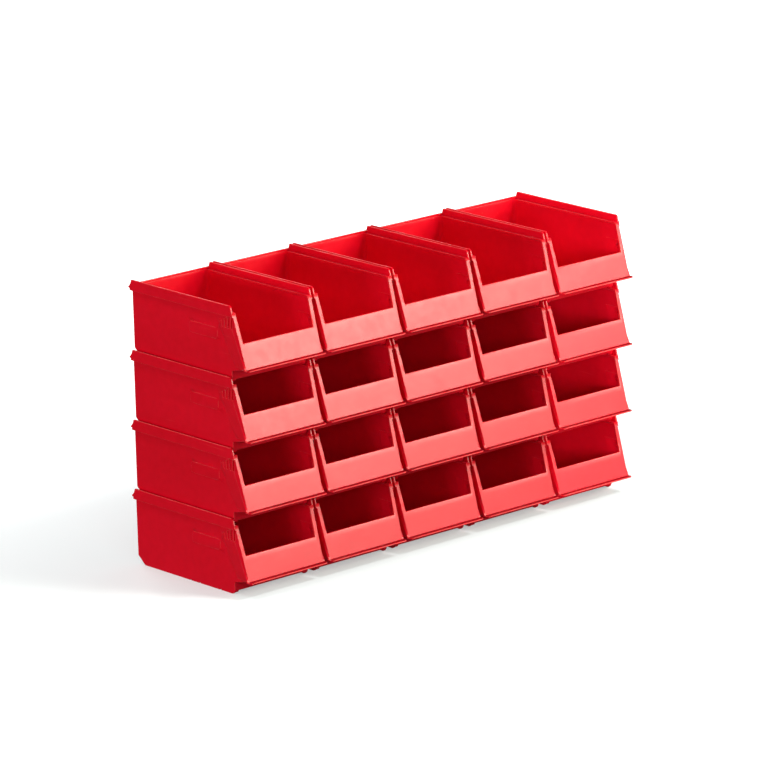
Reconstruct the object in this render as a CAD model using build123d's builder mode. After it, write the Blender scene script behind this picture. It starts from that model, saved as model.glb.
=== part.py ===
"""Stack of open-fronted storage bins: five columns of four bins, each bin one plastic moulding.

Frame: X to the right along the front of the stack, Y to the back, Z up, in millimetres.
The origin is on the table, under the middle of the stack's box.
"""
import os

from build123d import *

# --- the stack ---------------------------------------------------------------------------
columns = 5
tiers = 4
column_gap = 3.0          # clear space between two neighbouring bins

# --- one bin, overall --------------------------------------------------------------------
bin_width = 102.0         # over the two rails
bin_length = 171.5        # front lip to back lip
bin_height = 76.5         # skirt to the top of the rails
wall = 1.9                # moulded wall

# --- rails, ledge and lips ---------------------------------------------------------------
rail_wall = 1.6           # thickness of the upright rail
rail_rise = 6.9           # rail above the ledge: how far two stacked bins interlock
rail_drop = 3.9           # rail below the ledge
rail_corner = 3.4         # rounded front top corner of the rail
rail_back_lean = 2.4      # the rail's back end leans forward by this much at the top
ledge_wall = 1.6          # thickness of the ledge that carries the next bin
ledge_width = 4.9         # rail's outer face to the ledge's inner edge
rim_rise = 2.1            # back wall above the ledge
front_lip_reach = 5.4     # thin lip in front of the panel's bottom edge
front_lip_wall = 1.2
back_lip_reach = 2.4      # hanging lip behind the back wall

# --- walls -------------------------------------------------------------------------------
side_step = 2.6           # rail's outer face to the side wall just under the ledge
side_draft = 1.4          # how much further in the side wall is at the base
back_draft = 0.6          # how much further in the back wall is at the base
outer_corner = 2.0        # upright back corners, outside
inner_corner = 4.0        # and inside
corner_slack = 0.05       # the side outline cuts this much off the rounded block's back
block_margin = 10.0       # the rounded block runs on past the bottom and the top by this much

# --- slanted front -----------------------------------------------------------------------
panel_bottom = 17.2       # height of the label panel's bottom edge
panel_height = 23.4
front_lean = 0.325        # setback of the slanted front for each millimetre of height
front_step = 1.1          # rail's outer face to the edge of the front frame
frame_foot = 5.1          # width of the front frame beside the panel's top edge
frame_head = 3.8          # width of the front frame at the ledge

# --- flares: each side wall swells out to meet the front frame ----------------------------
flare_foot = 17.0         # length of the flare at the panel's bottom edge
flare_head = 27.0         # and under the rail
flare_flat = 8.0          # its top starts to slope down this far behind the front
flare_slope = 0.56        # drop of that slope for each millimetre back
flare_shoulder = 0.75     # share of the length over which the flare stays nearly flat
rib_slots = 4             # upright slots in the flare's top, which leave ribs between them
rib_pitch = 4.7
slot_width = 2.1
slot_start = 2.7          # first slot's middle behind the front, under the rail
slot_bottom = 54.0

# --- base --------------------------------------------------------------------------------
base_setback = 21.2       # base front behind the panel's bottom edge
base_front_top = 12.4     # where the base front meets the sloping underside
heel_length = 11.0        # sloping lower back corner, along the base
heel_height = 9.5         # and up the back wall
heel_radius = 5.0
toe_radius = 5.0
skirt_height = 3.2        # the floor stands clear of the table on this skirt
skirt_wall = 1.6
foot_width = 5.0          # front feet, across the base front
notch_width = 1.6         # small breaks in the skirt
notch_height = 1.2
notch_places = (21.0, 51.0, 64.0)

# --- small features ----------------------------------------------------------------------
clip_hole_radius = 1.2    # blind holes for a snap-in front window
clip_hole_depth = 2.7
clip_hole_back = 6.2      # behind the slanted front
clip_hole_rise = 5.8      # above the label panel
pad_length = 40.0         # plain raised pad on each side wall
pad_height = 11.0
pad_rise = 0.3
pad_back = 60.5           # centre of the pad behind the panel's bottom edge
pad_level = 45.5

# --- worked out --------------------------------------------------------------------------
half_width = bin_width / 2
ledge_level = bin_height - rail_rise
rail_bottom = ledge_level - rail_drop
panel_top = panel_bottom + panel_height
front_face = front_lip_reach - bin_length / 2       # panel's bottom edge, along Y
back_face = bin_length / 2 - back_lip_reach         # back wall's outer face under the lip
base_front = front_face + base_setback              # upright front of the base
side_top = half_width - side_step                   # half widths of the side walls, outside
side_foot = side_top - side_draft
column_pitch = bin_width + column_gap
tier_pitch = ledge_level                            # a skirt stands on the ledge below it
far = 3 * bin_height                                # past every face, for cutting


def front_at(level):
    """Y of the slanted front at a height."""
    return front_face + (level - panel_bottom) * front_lean


def back_at(level):
    """Y of the drafted back wall, outside, at a height."""
    return back_face + back_draft * (level / ledge_level - 1)


def side_at(level):
    """Half width of the drafted side walls, outside, at a height."""
    return side_foot + side_draft * level / ledge_level


def side_outline(bottom, top):
    """Outline of the bin seen from the side, between two heights, as Y and Z pairs."""
    heel_back = back_at(heel_height)
    return [
        (front_face, panel_bottom),
        (front_at(top), top),
        (back_at(top), top),
        (heel_back, heel_height),
        (heel_back - heel_length * (1 - bottom / heel_height), bottom),
        (base_front, bottom),
        (base_front, base_front_top),
    ]


def corners_in(sketch, left, right, low, high):
    """The sketch's corners inside a window, in the sketch's own two axes."""
    slack = 0.01
    picked = []
    for corner in sketch.vertices():
        across = left - slack <= corner.X <= right + slack
        if across and low - slack <= corner.Y <= high + slack:
            picked.append(corner)
    return picked


def drafted_block(inset, radius):
    """Upright block with the walls' draft and rounded back corners.

    It runs out past the bin's front, top and bottom, and its back stands a little behind the
    side outline's, so that the outline gives all of those faces.
    """
    reach = 2 * bin_length
    with BuildPart() as block:
        for level in (-block_margin, far + block_margin):
            with BuildSketch(Plane.XY.offset(level)):
                with Locations((0, back_at(level) + corner_slack - inset - reach / 2)):
                    RectangleRounded(2 * (side_at(level) - inset), reach, radius)
        loft(ruled=True)
    return block.part


def flare_plan(level, length, inset):
    """Left flare in plan at a height, as X and Y pairs: outer face first, then the wall's side."""
    front = front_at(level) + inset
    outside = -half_width + front_step + inset
    inside = -side_at(level) + inset
    shoulder = flare_shoulder * (level - panel_bottom) / (rail_bottom - panel_bottom)
    return [
        (outside, front),
        (outside + (inside - outside) * (1 - shoulder) / 2, front + length / 2),
        (inside, front + length),
        (inside + wall / 2, front + length),
        (inside + wall / 2, front),
    ]


# --- the body: drafted walls, sloping heel, slanted front ---------------------------------
heel_window = (back_face - 2 * heel_length, back_face, 0, heel_height)
toe_window = (front_face, base_front, 0, 0)
with BuildPart() as body:
    with BuildSketch(Plane.YZ) as side_view:
        with BuildLine():
            Polyline(*side_outline(0, ledge_level), close=True)
        make_face()
        fillet(corners_in(side_view, *heel_window), radius=heel_radius)
        fillet(corners_in(side_view, *toe_window), radius=toe_radius)
    extrude(amount=half_width, both=True)
    add(drafted_block(0, outer_corner), mode=Mode.INTERSECT)

# --- the hollow: the same outline one wall further in, from the floor up ------------------
with BuildPart() as hollow:
    with BuildSketch(Plane.YZ) as inside_view:
        with BuildLine():
            Polyline(*side_outline(skirt_height, far), close=True)
        make_face()
        fillet(corners_in(inside_view, *heel_window), radius=heel_radius)
        offset(amount=-wall, kind=Kind.INTERSECTION, mode=Mode.REPLACE)
    extrude(amount=half_width, both=True)
    add(drafted_block(wall, inner_corner), mode=Mode.INTERSECT)

# --- left rail: an upright strip, its front end leaning with the front --------------------
with BuildPart() as rail:
    with BuildSketch(Plane.YZ.offset(-half_width)) as rail_view:
        with BuildLine():
            Polyline(
                (front_at(rail_bottom), rail_bottom),
                (front_at(bin_height), bin_height),
                (back_face - rail_back_lean, bin_height),
                (back_face, ledge_level),
                (back_face, rail_bottom),
                close=True,
            )
        make_face()
        fillet(corners_in(rail_view, front_face, 0, bin_height, bin_height), radius=rail_corner)
        fillet(corners_in(rail_view, 0, back_face, bin_height, bin_height), radius=rail_wall)
    extrude(amount=rail_wall)

# --- left flare ---------------------------------------------------------------------------
with BuildPart() as flare:
    flare_top = ledge_level - ledge_wall / 2
    for level, length in ((panel_bottom, flare_foot), (flare_top, flare_head)):
        with BuildSketch(Plane.XY.offset(level)):
            with BuildLine():
                Polyline(*flare_plan(level, length, 0), close=True)
            make_face()
    loft(ruled=True)
    # its top slopes down to the back
    slope_start = front_at(rail_bottom) + flare_flat
    slope_end = slope_start + 2 * flare_head
    with BuildSketch(Plane.YZ.offset(-half_width)):
        with BuildLine():
            Polyline(
                (slope_start, rail_bottom),
                (slope_end, rail_bottom - flare_slope * (slope_end - slope_start)),
                (slope_end, bin_height),
                (slope_start, bin_height),
                close=True,
            )
        make_face()
    extrude(amount=half_width, mode=Mode.SUBTRACT)
    # upright slots leave ribs between them
    with BuildSketch(Plane.YZ.offset(-half_width)):
        for rib in range(rib_slots):
            slot_middle = front_at(rail_bottom) + slot_start + rib * rib_pitch
            with Locations((slot_middle, (slot_bottom + rail_bottom) / 2)):
                Rectangle(slot_width, rail_bottom - slot_bottom)
    extrude(amount=half_width, mode=Mode.SUBTRACT)

# --- left flare's hollow, one wall further in and below the slots -------------------------
with BuildPart() as flare_hollow:
    for level in (base_front_top + 2 * wall, slot_bottom - wall):
        with BuildSketch(Plane.XY.offset(level)):
            with BuildLine():
                Polyline(*flare_plan(level, flare_foot, wall), close=True)
            make_face()
    loft(ruled=True)

# --- one whole bin -----------------------------------------------------------------------
with BuildPart() as storage_bin:
    add(body.part)
    # ledge round the sides and the hanging lip behind
    with BuildSketch(Plane.XY.offset(ledge_level - ledge_wall)) as ledge_plan:
        ledge_front = front_at(ledge_level - ledge_wall)
        with Locations((0, (ledge_front + bin_length / 2) / 2)):
            Rectangle(bin_width, bin_length / 2 - ledge_front)
        lip_back = bin_length / 2
        fillet(corners_in(ledge_plan, -far, far, lip_back, lip_back), radius=back_lip_reach / 2)
    extrude(amount=ledge_wall)
    # back wall's rim above the ledge
    with BuildSketch(Plane.XY.offset(ledge_level)):
        with Locations((0, back_face - wall / 2)):
            Rectangle(bin_width, wall)
    extrude(amount=rim_rise)
    for part in (flare.part, rail.part):
        add(part)
        add(part.mirror(Plane.YZ))
    for part in (hollow.part, flare_hollow.part, flare_hollow.part.mirror(Plane.YZ)):
        add(part, mode=Mode.SUBTRACT)
    # the ledges stand inside the side walls too
    ledge_length = back_face - wall - ledge_front
    ledge_middle = half_width - ledge_width / 2
    with BuildSketch(Plane.XY.offset(ledge_level - ledge_wall)):
        with Locations((-ledge_middle, ledge_front + ledge_length / 2)):
            Rectangle(ledge_width, ledge_length)
        with Locations((ledge_middle, ledge_front + ledge_length / 2)):
            Rectangle(ledge_width, ledge_length)
    extrude(amount=ledge_wall)
    # thin lip along the front panel's bottom edge
    with BuildSketch(Plane.XY.offset(panel_bottom - front_lip_wall)) as lip_plan:
        with Locations((0, front_face + (wall - front_lip_reach) / 2)):
            Rectangle(2 * (half_width - front_step), front_lip_reach + wall)
        lip_front = front_face - front_lip_reach
        fillet(corners_in(lip_plan, -far, far, lip_front, lip_front), radius=front_lip_reach / 2)
    extrude(amount=front_lip_wall)
    # the opening above the label panel
    opening_foot = half_width - front_step - frame_foot
    opening_head = half_width - front_step - frame_head
    with BuildSketch(Plane.XZ.offset(-front_face)):
        with BuildLine():
            Polyline(
                (-opening_foot, panel_top),
                (opening_foot, panel_top),
                (opening_head, ledge_level),
                (opening_head, far),
                (-opening_head, far),
                (-opening_head, ledge_level),
                close=True,
            )
        make_face()
    extrude(amount=-base_setback - wall, mode=Mode.SUBTRACT)
    # pocket under the floor, leaving a skirt, and the gap between the front feet
    skirt_front = base_front + skirt_wall
    skirt_back = back_at(0) - heel_length - 2 * skirt_wall
    with BuildSketch(Plane.XY):
        with Locations((0, (skirt_front + skirt_back) / 2)):
            Rectangle(2 * (side_foot - skirt_wall), skirt_back - skirt_front)
        with Locations((0, skirt_front)):
            Rectangle(2 * (side_foot - foot_width), 4 * skirt_wall)
    extrude(amount=skirt_height, mode=Mode.SUBTRACT)
    # small breaks in the skirt
    with BuildSketch(Plane.XY):
        for place in notch_places:
            with Locations((0, base_front + place)):
                Rectangle(bin_width, notch_width)
    extrude(amount=notch_height, mode=Mode.SUBTRACT)
    # blind clip holes just behind the front, inside both side walls
    clip_level = panel_top + clip_hole_rise
    for side in (-1, 1):
        with BuildSketch(Plane.YZ.offset(side * (side_at(clip_level) - wall))):
            with Locations((front_at(clip_level) + clip_hole_back, clip_level)):
                Circle(clip_hole_radius)
        extrude(amount=side * clip_hole_depth, mode=Mode.SUBTRACT)
    # plain raised pad on each side wall
    for side in (-1, 1):
        with BuildSketch(Plane.YZ.offset(side * (side_at(pad_level) - wall / 2))):
            with Locations((front_face + pad_back, pad_level)):
                RectangleRounded(pad_length, pad_height, pad_height / 5)
        extrude(amount=side * (wall / 2 + pad_rise))

print("one bin:", len(storage_bin.part.solids()), "solid,", round(storage_bin.part.volume), "mm3")

# --- the stack: the same moulding in every place ------------------------------------------
os.makedirs("parts", exist_ok=True)
for tier in range(tiers):
    for column in range(columns):
        place = ((column - (columns - 1) / 2) * column_pitch, 0, tier * tier_pitch)
        name = f"bin_tier{tier + 1}_column{column + 1}"
        with BuildPart() as placed_bin:
            with Locations(place):
                add(storage_bin.part)
        placed_bin.part.label = name
        export_step(placed_bin.part, f"parts/{name}.step")
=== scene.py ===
# %% [markdown]
# # A stack of red storage bins
# Twenty open-fronted bins stand four high in five columns. Each is one plastic moulding that
# hooks on the ledges of the bin below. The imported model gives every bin's shape and place, so it
# is loaded first, and everything after it only adds finish, light and a camera around it.

# %% The frame
from math import cos, radians, sin

import bmesh
import bpy
from mathutils import Matrix, Vector


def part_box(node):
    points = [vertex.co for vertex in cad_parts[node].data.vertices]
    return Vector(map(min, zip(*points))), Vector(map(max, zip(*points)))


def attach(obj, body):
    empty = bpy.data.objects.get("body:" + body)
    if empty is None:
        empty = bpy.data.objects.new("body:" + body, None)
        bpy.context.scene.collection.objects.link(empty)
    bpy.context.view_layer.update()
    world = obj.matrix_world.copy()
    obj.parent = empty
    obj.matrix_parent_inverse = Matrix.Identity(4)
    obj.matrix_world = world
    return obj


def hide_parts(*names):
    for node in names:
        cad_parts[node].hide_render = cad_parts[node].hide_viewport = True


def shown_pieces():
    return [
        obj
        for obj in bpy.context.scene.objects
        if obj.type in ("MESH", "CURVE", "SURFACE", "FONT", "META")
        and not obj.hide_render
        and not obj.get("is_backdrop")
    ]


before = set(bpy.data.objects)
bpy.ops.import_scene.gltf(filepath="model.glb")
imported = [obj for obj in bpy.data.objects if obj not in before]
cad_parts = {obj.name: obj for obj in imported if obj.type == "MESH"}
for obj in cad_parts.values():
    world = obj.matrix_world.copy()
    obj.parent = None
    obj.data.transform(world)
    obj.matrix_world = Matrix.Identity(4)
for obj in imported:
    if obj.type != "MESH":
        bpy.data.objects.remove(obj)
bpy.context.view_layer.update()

scene = bpy.context.scene
print("bins in the frame:", len(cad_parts))

# %% [markdown]
# ## The camera
# A long lens from far away keeps the stack's edges nearly parallel. The camera stands to the left
# of the stack's front and looks a little down. Three angles say how it is turned, and its three
# axes are worked out from them, which is exact and needs no tracking constraint.

# %% The camera
heading = radians(43.311)      # to the right of straight ahead
dip = radians(15.404)          # below the horizon
roll = radians(-0.299)
lens = 247.25                  # millimetres, on the usual 36 mm sensor
camera_place = Vector((-3.4526, -3.6587, 1.5322))

ahead = Vector((sin(heading) * cos(dip), cos(heading) * cos(dip), -sin(dip)))
level_right = Vector((cos(heading), -sin(heading), 0.0))
level_up = level_right.cross(ahead)
camera_right = cos(roll) * level_right + sin(roll) * level_up
camera_up = cos(roll) * level_up - sin(roll) * level_right
camera_axes = Matrix((camera_right, camera_up, -ahead)).transposed()

bpy.ops.object.camera_add()
camera = bpy.context.object
camera.name = "studio_camera"
camera.matrix_world = Matrix.Translation(camera_place) @ camera_axes.to_4x4()
camera.data.lens = lens
camera.data.clip_end = 100.0   # metres, past the far floor
scene.camera = camera
print("camera to stack, metres:", round(camera_place.length, 3))

# %% [markdown]
# ## Shader maths as plain arithmetic
# A finish is a small graph of nodes. A graph is long to write and hard to read, so one class
# holds a socket and lets Python's own operators add the Math nodes. Its `make` method adds any
# other node.


# %% The class for shader maths
class Wire:
    """One socket of a material. Arithmetic on it adds Math nodes."""

    def __init__(self, tree, socket=None):
        self.tree = tree
        self.socket = socket

    def make(self, kind, settings=None, sockets=None, out=0):
        """Adds a node: its settings first, then the values or links of its sockets."""
        node = self.tree.nodes.new(kind)
        for name, value in (settings or {}).items():
            setattr(node, name, value)
        for name, value in (sockets or {}).items():
            if isinstance(value, Wire):
                self.tree.links.new(value.socket, node.inputs[name])
            else:
                node.inputs[name].default_value = value
        return Wire(self.tree, node.outputs[out] if node.outputs else None)

    def math(self, operation, first, second):
        return self.make("ShaderNodeMath", {"operation": operation}, {0: first, 1: second})

    def __add__(self, other):
        return self.math("ADD", self, other)

    __radd__ = __add__

    def __sub__(self, other):
        return self.math("SUBTRACT", self, other)

    def __rsub__(self, other):
        return self.math("SUBTRACT", other, self)

    def __mul__(self, other):
        return self.math("MULTIPLY", self, other)

    __rmul__ = __mul__

    def mix(self, first, second):
        """One colour where this is 0 and another where it is 1."""
        colours = {0: self, 6: first, 7: second}
        return self.make("ShaderNodeMix", {"data_type": "RGBA"}, colours, 2)

    def between(self, low, high):
        """0 below one value, 1 above another, and smooth from one to the other."""
        limits = {"Value": self, "From Min": low, "From Max": high}
        return self.make("ShaderNodeMapRange", {"interpolation_type": "SMOOTHSTEP"}, limits)

    def noise(self, scale, detail=3.0, stretch=(1.0, 1.0, 1.0)):
        """Noise read at this place, centred on a half."""
        place = self.make("ShaderNodeMapping", {}, {"Vector": self, "Scale": stretch})
        sockets = {"Vector": place, "Scale": scale, "Detail": detail}
        return self.make("ShaderNodeTexNoise", {}, sockets)


print("shader maths ready")

# %% [markdown]
# ## The plastic
# The real bins are polypropylene, coloured right through, from a mould whose steel was given a
# fine even grain. Four things show on it up close. The grain breaks up the reflection. The tone
# drifts where the melt flowed. Fine scuffs run the way the bins slide on each other. And every
# edge is rubbed smoother than the faces and is paler, partly from wear and partly as a painted
# highlight. Light also goes a little way into the wall and comes out beside where it went in,
# which softens the shading without blurring the small ribs.
# The crease above the lip is painted darker, as painted shade.

# %% The plastic
red_deep = (0.62, 0.0022, 0.0120, 1.0)
red_full = (0.74, 0.0034, 0.0180, 1.0)
red_scuffed = (0.80, 0.060, 0.062, 1.0)
# the pale edge colour: partly wear, partly a painted highlight
red_wear_and_highlight = (0.86, 0.105, 0.100, 1.0)
# painted shade for the crease above the lip
red_painted_crease_shade = (0.16, 0.0008, 0.0040, 1.0)
flow_scale = 9.0               # marks to the metre, for each kind of noise
patch_scale = 16.0
wave_scale = 26.0
wear_scale = 60.0
mottle_scale = 120.0
scuff_scale = 420.0
grain_scale = 2600.0
along_flow = (1.0, 0.45, 1.6)
along_bin = (1.0, 0.035, 1.0)
plain_rough = 0.31
grain_height = 0.0002          # metres, for each kind of relief
scuff_height = 0.0001
wave_height = 0.002
scatter_reach = (0.0020, 0.0006, 0.0006)   # metres that each colour goes inside the wall


def plastic(name, edge_wear_and_highlight=0.0, painted_crease_shade=0.0):
    """Moulded red plastic; the second argument is 1 on edges, which are worn and painted paler as
    a highlight, and the third is 1 in a crease, which is painted darker as shade.
    """
    material = bpy.data.materials.new(name)
    material.use_nodes = True
    tree = material.node_tree
    tree.nodes.clear()
    start = Wire(tree)
    place = start.make("ShaderNodeTexCoord", out=3)

    # tone: slow drift with the melt's flow, and a faint mottle
    flow = place.noise(flow_scale, 4.0, along_flow).between(0.25, 0.75)
    mottle = place.noise(mottle_scale).between(0.3, 0.7)
    tone = flow * 0.7 + mottle * 0.3
    body = tone.mix(red_deep, red_full)

    # scuffs: long thin marks along the way the bins slide, in patches
    marks = place.noise(scuff_scale, 2.0, along_bin).between(0.64, 0.74)
    patches = place.noise(patch_scale, 2.0).between(0.5, 0.7)
    scuff = marks * patches
    body = (scuff * 0.35).mix(body, red_scuffed)

    # worn edges: paler, partly from wear and partly as a painted highlight, where the noise lets
    # it through
    wear_and_highlight = (place.noise(wear_scale).between(0.2, 0.75) * 0.5 + 0.5) * edge_wear_and_highlight
    body = wear_and_highlight.mix(body, red_wear_and_highlight)
    # painted shade: the crease above the lip is painted darker
    if painted_crease_shade:
        body = (mottle * 0.2 + painted_crease_shade * 0.7).mix(body, red_painted_crease_shade)

    # gloss: the grain scatters it, rubbing and scuffs change it
    rough = plain_rough + mottle * 0.04 + scuff * 0.12 - wear_and_highlight * 0.06

    # relief: the mould's grain, scuffs, and the wall's slight waviness
    grain = place.noise(grain_scale, 2.0)
    waviness = place.noise(wave_scale, 1.0)
    grain_strength = 0.16 * (1 - 0.6 * edge_wear_and_highlight)
    grain_bump = {"Height": grain, "Strength": grain_strength, "Distance": grain_height}
    relief = start.make("ShaderNodeBump", {}, grain_bump)
    scuff_bump = {"Height": scuff, "Strength": 0.15, "Distance": scuff_height, "Normal": relief}
    relief = start.make("ShaderNodeBump", {"invert": True}, scuff_bump)
    wave_bump = {"Height": waviness, "Strength": 0.08, "Distance": wave_height, "Normal": relief}
    relief = start.make("ShaderNodeBump", {}, wave_bump)

    finish = {
        "Base Color": body,
        "Roughness": rough,
        "Normal": relief,
        "IOR": 1.49,
        "Specular IOR Level": 0.18,
        "Subsurface Weight": 0.4,
        "Subsurface Radius": scatter_reach,
        "Subsurface Scale": 1.0,
    }
    shader = start.make("ShaderNodeBsdfPrincipled", {}, finish)
    start.make("ShaderNodeOutputMaterial", {}, {"Surface": shader})
    return material


face_plastic = plastic("red_polypropylene")
# edges: paler, partly from wear and partly as a painted highlight
wear_and_highlight_plastic = plastic("red_polypropylene_worn_and_highlit_edge", edge_wear_and_highlight=1.0)
# the crease above the lip: painted shade
crease_shade_plastic = plastic("red_polypropylene_painted_crease_shade", painted_crease_shade=1.0)
print("plastic nodes:", len(face_plastic.node_tree.nodes))

# %% [markdown]
# ## One moulding from the CAD shape
# The CAD bin is a cloud of loose triangles, some of them as long as the bin, and light drifts
# across a long triangle. So one bin's mesh is copied, its double corners are merged, and it is
# cut across by a row of planes each way, which leaves small faces that shade evenly.

# %% One moulding
pattern_name = "bin_tier1_column3"
merge_distance = 2e-6
cut_step = 0.010
cut_start = 0.63               # where the first cut falls, as a part of a step
edge_slot, crease_slot = 1, 2  # places in the list of materials; a plain face keeps 0

moulding = bpy.data.objects.new("moulding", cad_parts[pattern_name].data.copy())
scene.collection.objects.link(moulding)
bpy.ops.object.select_all(action="DESELECT")
moulding.select_set(True)
bpy.context.view_layer.objects.active = moulding
moulding.data.materials.clear()
moulding.data.materials.append(face_plastic)
moulding.data.materials.append(wear_and_highlight_plastic)
moulding.data.materials.append(crease_shade_plastic)
mould_low, mould_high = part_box(pattern_name)

bpy.ops.object.mode_set(mode="EDIT")
bpy.ops.mesh.select_all(action="SELECT")
bpy.ops.mesh.remove_doubles(threshold=merge_distance)
for axis, normal in ((1, (0.0, 1.0, 0.0)), (2, (0.0, 0.0, 1.0))):
    cuts = int((mould_high[axis] - mould_low[axis]) / cut_step)
    for cut in range(1, cuts + 1):
        point = Vector(normal) * (mould_low[axis] + (cut - 1 + cut_start) * cut_step)
        bpy.ops.mesh.select_all(action="SELECT")
        bpy.ops.mesh.bisect(plane_co=point, plane_no=normal)
bpy.ops.object.mode_set(mode="OBJECT")
print("faces after merging and cutting:", len(moulding.data.polygons))

# %% [markdown]
# ## Rounded edges, rubbed and painted paler
# No moulded edge is sharp: the cutter that made the mould leaves a small round, and that round
# catches a thin line of light. Hands and other bins rub the rails, the rims, the lips and the
# front frame most, so those are rounded wider. The other outer edges get a finer round. All the
# rounds take the paler material, which is partly wear and partly a painted highlight, and draws
# the ribs, the pad and the rims as thin pale lines.
# First come the tests that say where on the bin an edge lies.

# %% Where the edges are
rim_level = 0.0712             # above this only the rails and the back rim stand
lip_levels = (0.0155, 0.0175)
lip_brow_levels = (0.0163, 0.0180)
lip_brow_depth = 0.0006        # how far behind the bin's foremost face the brow may lie
front_foot = Vector((0.0, -0.08035, 0.0172))
front_normal = Vector((0.0, -1.0, 0.325)).normalized()
front_slack = 0.0004


def is_lip_brow(middle):
    """True on the upper front edge of the lip under the panel."""
    foremost = middle.y < mould_low.y + lip_brow_depth
    return foremost and lip_brow_levels[0] < middle.z < lip_brow_levels[1]


def is_rubbed(middle):
    """True on the rails, the rims, the lip and the slanted front."""
    off_front = abs((middle - front_foot).dot(front_normal))
    on_front = off_front < front_slack and middle.z > lip_levels[0]
    on_lip = lip_levels[0] < middle.z < lip_levels[1] and middle.y < front_foot.y
    return middle.z > rim_level or on_front or on_lip


def is_not_rubbed(middle):
    return not is_rubbed(middle)


print("rim, lip, brow and front known for:", pattern_name)

# %% [markdown]
# A Bevel modifier rounds the edges, and reads which ones from a weight on each edge. Only outer
# edges that turn sharply get a weight: a fillet is already round, a very short edge would fold
# over, and an edge beside one that is already round stays as it is.

# %% Rounded edges
turn_least = radians(40)       # edges that turn less than this are part of a curve
edge_least = 0.0012            # shorter edges are left alone


def round_edges(wanted, width):
    """Rounds the sharp outer edges whose middle passes a test."""
    shape = bmesh.new()
    shape.from_mesh(moulding.data)
    weights = shape.edges.layers.float.get("bevel_weight_edge")
    weights = weights or shape.edges.layers.float.new("bevel_weight_edge")
    chosen = 0
    for edge in shape.edges:
        edge[weights] = 0.0
        if len(edge.link_faces) != 2 or edge.calc_length() < edge_least:
            continue
        near_faces = [face for vert in edge.verts for face in vert.link_faces]
        rounded = any(face.material_index == edge_slot for face in near_faces)
        if edge.is_convex and edge.calc_face_angle() > turn_least and not rounded:
            middle = (edge.verts[0].co + edge.verts[1].co) / 2
            if wanted(middle):
                edge[weights] = 1.0
                chosen += 1
    shape.to_mesh(moulding.data)
    shape.free()
    rounding = moulding.modifiers.new("rounding", "BEVEL")
    rounding.limit_method = "WEIGHT"
    rounding.width = width
    rounding.segments = 2
    rounding.use_clamp_overlap = False
    # the rounds take the paler material: partly wear, partly a painted highlight
    rounding.material = edge_slot
    bpy.ops.object.modifier_apply(modifier=rounding.name)
    print("edges rounded:", chosen, "to metres:", width)


brow_round = 0.0007
rubbed_round = 0.00038
fine_round = 0.00018
round_edges(is_lip_brow, brow_round)
round_edges(is_rubbed, rubbed_round)
round_edges(is_not_rubbed, fine_round)

# %% [markdown]
# The lip's top is the floor of a crease under the panel and takes the dark material, as painted
# shade. The lip's front takes the paler edge material, as a painted sheen. Then the faces are
# shaded smooth where they turn little, so that fillets look round and rounded edges stay crisp.

# %% The lip and the shading
smooth_least = radians(20)     # a fillet's facets turn less, a rounded edge's turn more
facing = 0.9                   # a face points along an axis when its normal has this much of it
crease_faces = 0
for face in moulding.data.polygons:
    on_level = lip_levels[0] < face.center.z < lip_levels[1]
    on_lip = on_level and face.center.y < front_foot.y + front_slack / 2
    # the lip's top: painted shade in the crease
    if on_lip and face.normal.z > facing:
        face.material_index = crease_slot
        crease_faces += 1
    # the lip's front: a painted sheen, in the paler edge material
    elif on_lip and face.normal.y < -facing:
        face.material_index = edge_slot
print("faces in the crease:", crease_faces)
bpy.ops.object.shade_smooth_by_angle(angle=smooth_least)
made_low = Vector(map(min, *[v.co for v in moulding.data.vertices]))
made_high = Vector(map(max, *[v.co for v in moulding.data.vertices]))
print("faces:", len(moulding.data.polygons))
print("box changed by:", made_low - mould_low, made_high - mould_high)

# %% [markdown]
# ## Twenty bins from one mould
# What repeats is modelled once. Every bin gets its own copy of the mesh, moved to where the CAD
# bin stands, and rides on that bin's body, so it moves when the bin is pulled or lifted.

# %% Twenty bins
for name in sorted(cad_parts):
    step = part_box(name)[0] - mould_low
    mesh = moulding.data.copy()
    mesh.transform(Matrix.Translation(step))
    piece = bpy.data.objects.new(name.replace("bin", "moulded_bin"), mesh)
    scene.collection.objects.link(piece)
    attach(piece, name)
    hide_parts(name)
bpy.data.objects.remove(moulding)

# %% [markdown]
# ## The floor
# The stack stands on a plain white floor that runs far past the view, so that no edge shows. A
# studio floor is lit evenly by lamps of its own, and here a faint glow does that work, weaker
# close to the stack, so that the stack's own shadow shows under it. The glow and the lamps' bounce
# would also light the bins from below and wash out the shade under every rail and lip, so the
# floor neither lights the bins nor shows in their gloss.

# %% The floor
floor_size = 60.0
floor_grey = (0.56, 0.60, 0.60, 1.0)   # a little blue, against the red light off the bins
glow_near = (0.37, 0.38, 0.38, 1.0)
glow_far = (0.85, 0.85, 0.85, 1.0)
glow_reach = (0.09, 0.70)              # where the glow starts to grow and where it is full
stack_squeeze = (0.45, 1.0, 1.0)       # the stack is wider than deep, so is the ring of shade
bpy.ops.object.select_all(action="DESELECT")
bpy.ops.mesh.primitive_plane_add(size=floor_size, location=(0.0, 0.0, 0.0))
floor = bpy.context.object
floor.name = "studio_floor"
floor_paint = bpy.data.materials.new("white_floor")
floor_paint.use_nodes = True
floor_start = Wire(floor_paint.node_tree)
floor_paint.node_tree.nodes.clear()
floor_place = floor_start.make("ShaderNodeTexCoord", out=3)
floor_rough = 0.6 + floor_place.noise(3.0) * 0.1
squeezed = {"Vector": floor_place, "Scale": stack_squeeze}
ringed_place = floor_start.make("ShaderNodeMapping", {}, squeezed)
length = {"operation": "LENGTH"}
from_stack = floor_start.make("ShaderNodeVectorMath", length, {0: ringed_place}, 1)
glow = from_stack.between(*glow_reach).mix(glow_near, glow_far)
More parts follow.
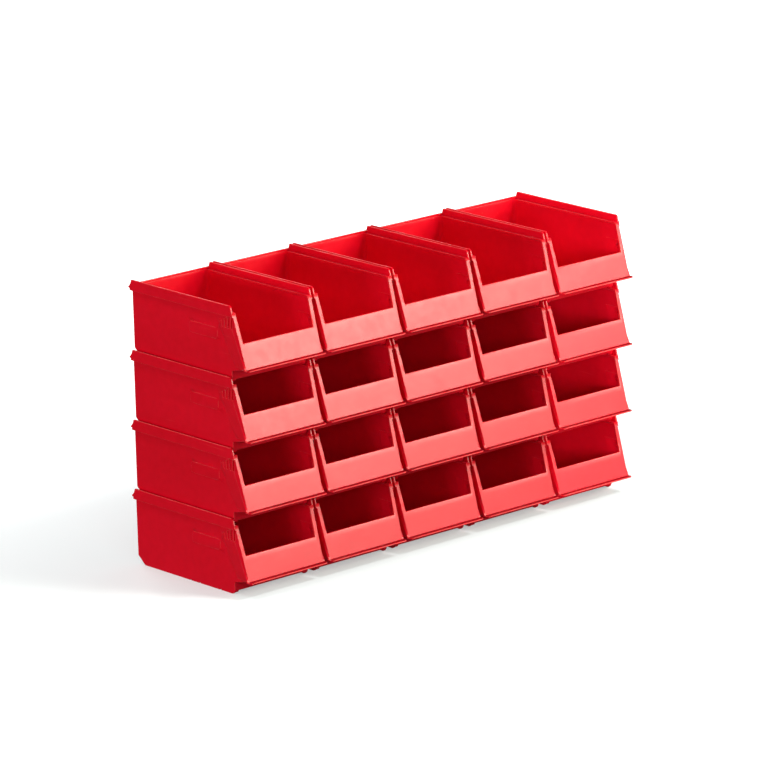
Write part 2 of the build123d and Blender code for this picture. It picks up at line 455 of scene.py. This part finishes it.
floor_finish = {
    "Base Color": floor_grey,
    "Roughness": floor_rough,
    "Specular IOR Level": 0.1,
    "Emission Color": glow,
    "Emission Strength": 1.0,
}
floor_shader = floor_start.make("ShaderNodeBsdfPrincipled", {}, floor_finish)
floor_start.make("ShaderNodeOutputMaterial", {}, {"Surface": floor_shader})
floor.data.materials.append(floor_paint)
floor.visible_glossy = False
floor.visible_diffuse = False
floor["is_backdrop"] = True
print("floor, metres:", floor_size)

# %% [markdown]
# ## The light
# Every lamp is a large soft panel aimed at the stack. A helper adds one, and takes three more
# things that a studio does with flags and gels. `shines` says whether it shows in gloss, `spreads`
# says whether it lights the plastic's own colour, and `only` names the pieces it reaches.


# %% A soft lamp
white = (1.0, 1.0, 1.0)
warm_white = (1.0, 0.98, 0.84)
stack_middle = Vector((0.0, 0.0, 0.14))


def soft_lamp(name, place, size, power, shines=True, spreads=True, colour=white, only=()):
    """A large soft lamp at a place, turned towards the stack."""
    bpy.ops.object.light_add(type="AREA", location=place)
    lamp = bpy.context.object
    lamp.name = name
    lamp.data.shape = "RECTANGLE"
    lamp.data.size, lamp.data.size_y = size
    lamp.data.energy = power
    lamp.data.color = colour
    lamp.rotation_mode = "QUATERNION"
    lamp.rotation_quaternion = (stack_middle - Vector(place)).to_track_quat("-Z", "Y")
    lamp.visible_camera = False
    lamp.visible_glossy = shines
    lamp.visible_diffuse = spreads
    if only:
        receivers = bpy.data.collections.new(name + "_receivers")
        for piece in only:
            receivers.objects.link(piece)
        lamp.light_linking.receiver_collection = receivers
    print(name, "watts:", power)


# %% [markdown]
# The label panels all lean back by the same angle, so two warm key lamps stand on the right, in
# the direction where the panels mirror the camera, and give each of them the same pale sheen. The
# lower one only shines, and leaves the shade under the lips alone.

# %% The front lamps
soft_lamp("key_lamp", (1.19, -1.85, 1.08), (1.2, 0.8), 46.0, colour=warm_white)
soft_lamp("low_key_lamp", (1.33, -1.75, 0.88), (1.0, 0.6), 58.0, spreads=False, colour=warm_white)
soft_lamp("front_lamp", (1.0, -1.5, 2.3), (0.7, 0.5), 48.0, shines=False)
soft_lamp("front_left_lamp", (-1.3, -2.0, 0.8), (1.0, 0.8), 12.0, shines=False)

# %% [markdown]
# The left walls take most of their light from a lamp as low as the stack, which can't reach over
# a wall into the bins. A small lamp high on the left draws the shade under each rail. The rest
# fill in from the right, above and behind.

# %% The side, top and back lamps
soft_lamp("left_lamp", (-2.4, -0.3, 0.42), (1.4, 0.4), 27.0, shines=False)
soft_lamp("top_left_lamp", (-1.15, 0.0, 2.45), (0.5, 0.5), 14.0, shines=False)
soft_lamp("right_lamp", (2.0, 0.2, 0.7), (1.2, 1.0), 12.0)
soft_lamp("top_lamp", (0.2, 0.1, 2.6), (2.0, 2.0), 5.0)
soft_lamp("back_lamp", (0.3, 2.3, 1.6), (1.6, 1.2), 34.0)

# %% [markdown]
# No bin stands to the right of the last column, so its right walls let the room's light through
# and look brighter from inside than the other bins do. A lamp that reaches only those bins does
# that here. The room itself adds an even, weak white.

# %% The last column and the room
last_column = [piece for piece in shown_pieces() if piece.name.endswith("column5")]
print("bins in the last column:", len(last_column))
soft_lamp("through_lamp", (-1.3, -2.0, 0.5), (1.0, 0.6), 34.0, shines=False, only=last_column)

room = bpy.data.worlds.new("white_room")
room.use_nodes = True
room_light = room.node_tree.nodes["Background"].inputs
room_light["Color"].default_value = (*white, 1.0)
room_light["Strength"].default_value = 0.10
scene.world = room
scene.view_settings.view_transform = "Standard"
scene.view_settings.look = "None"
